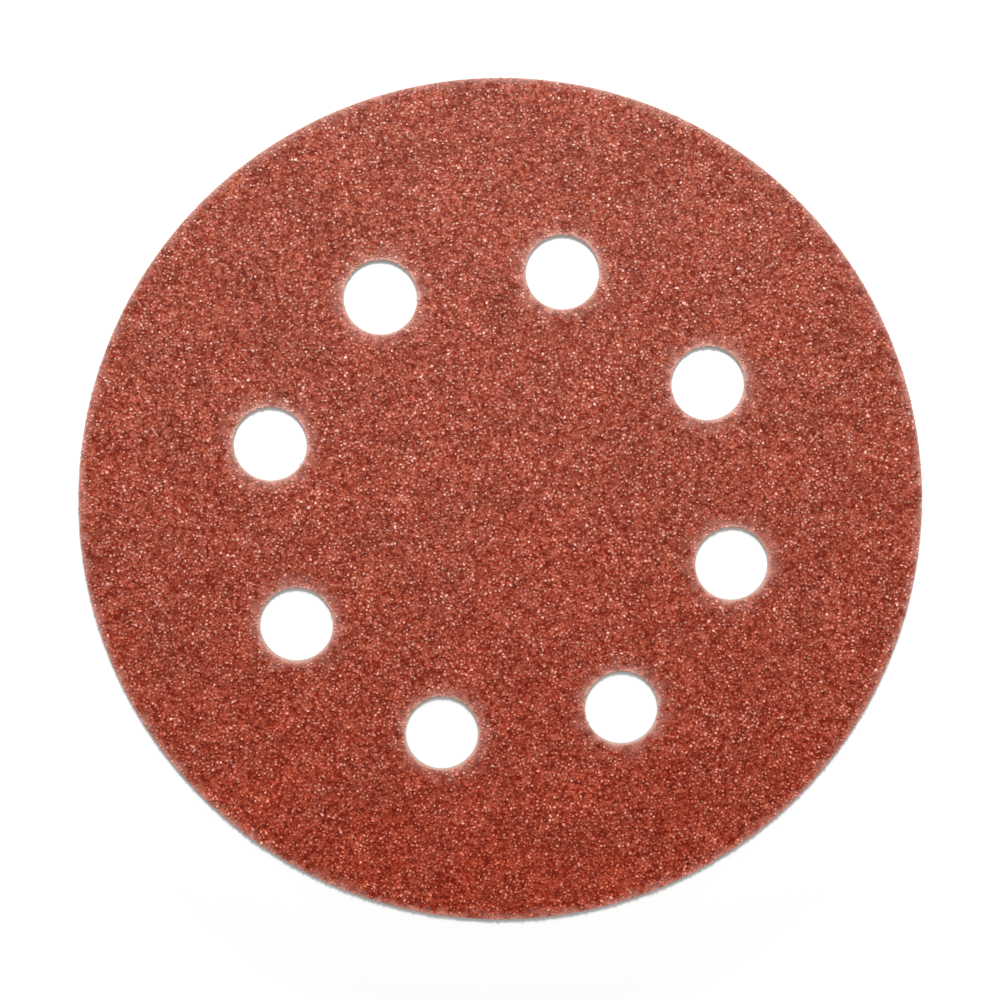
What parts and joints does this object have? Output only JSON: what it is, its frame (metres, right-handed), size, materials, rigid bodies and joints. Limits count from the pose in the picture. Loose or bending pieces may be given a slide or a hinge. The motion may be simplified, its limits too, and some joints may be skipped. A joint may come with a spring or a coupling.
{
  "type": "hook and loop sanding disc",
  "caption": "Round abrasive paper disc with a loop fabric back and a ring of punched dust extraction holes, for a random orbit sander's pad.",
  "frame": {"origin": "centre of the disc on the face of the loop fabric that grips the pad", "axes": "+Z out of the abrasive face, +X through the centre of the first dust hole, +Y through the third"},
  "size_m": [0.115, 0.115, 0.0016],
  "materials": {
    "loop_fabric": "brushed nylon loop knit",
    "backing_paper": "sized abrasive paper, seen only at the cut",
    "abrasive_coat": "red-brown aluminium oxide grain in resin"
  },
  "bodies": {
    "root": {"loop_fabric": "loop_fabric", "backing_paper": "backing_paper", "abrasive_coat": "abrasive_coat"}
  },
  "joints": []
}
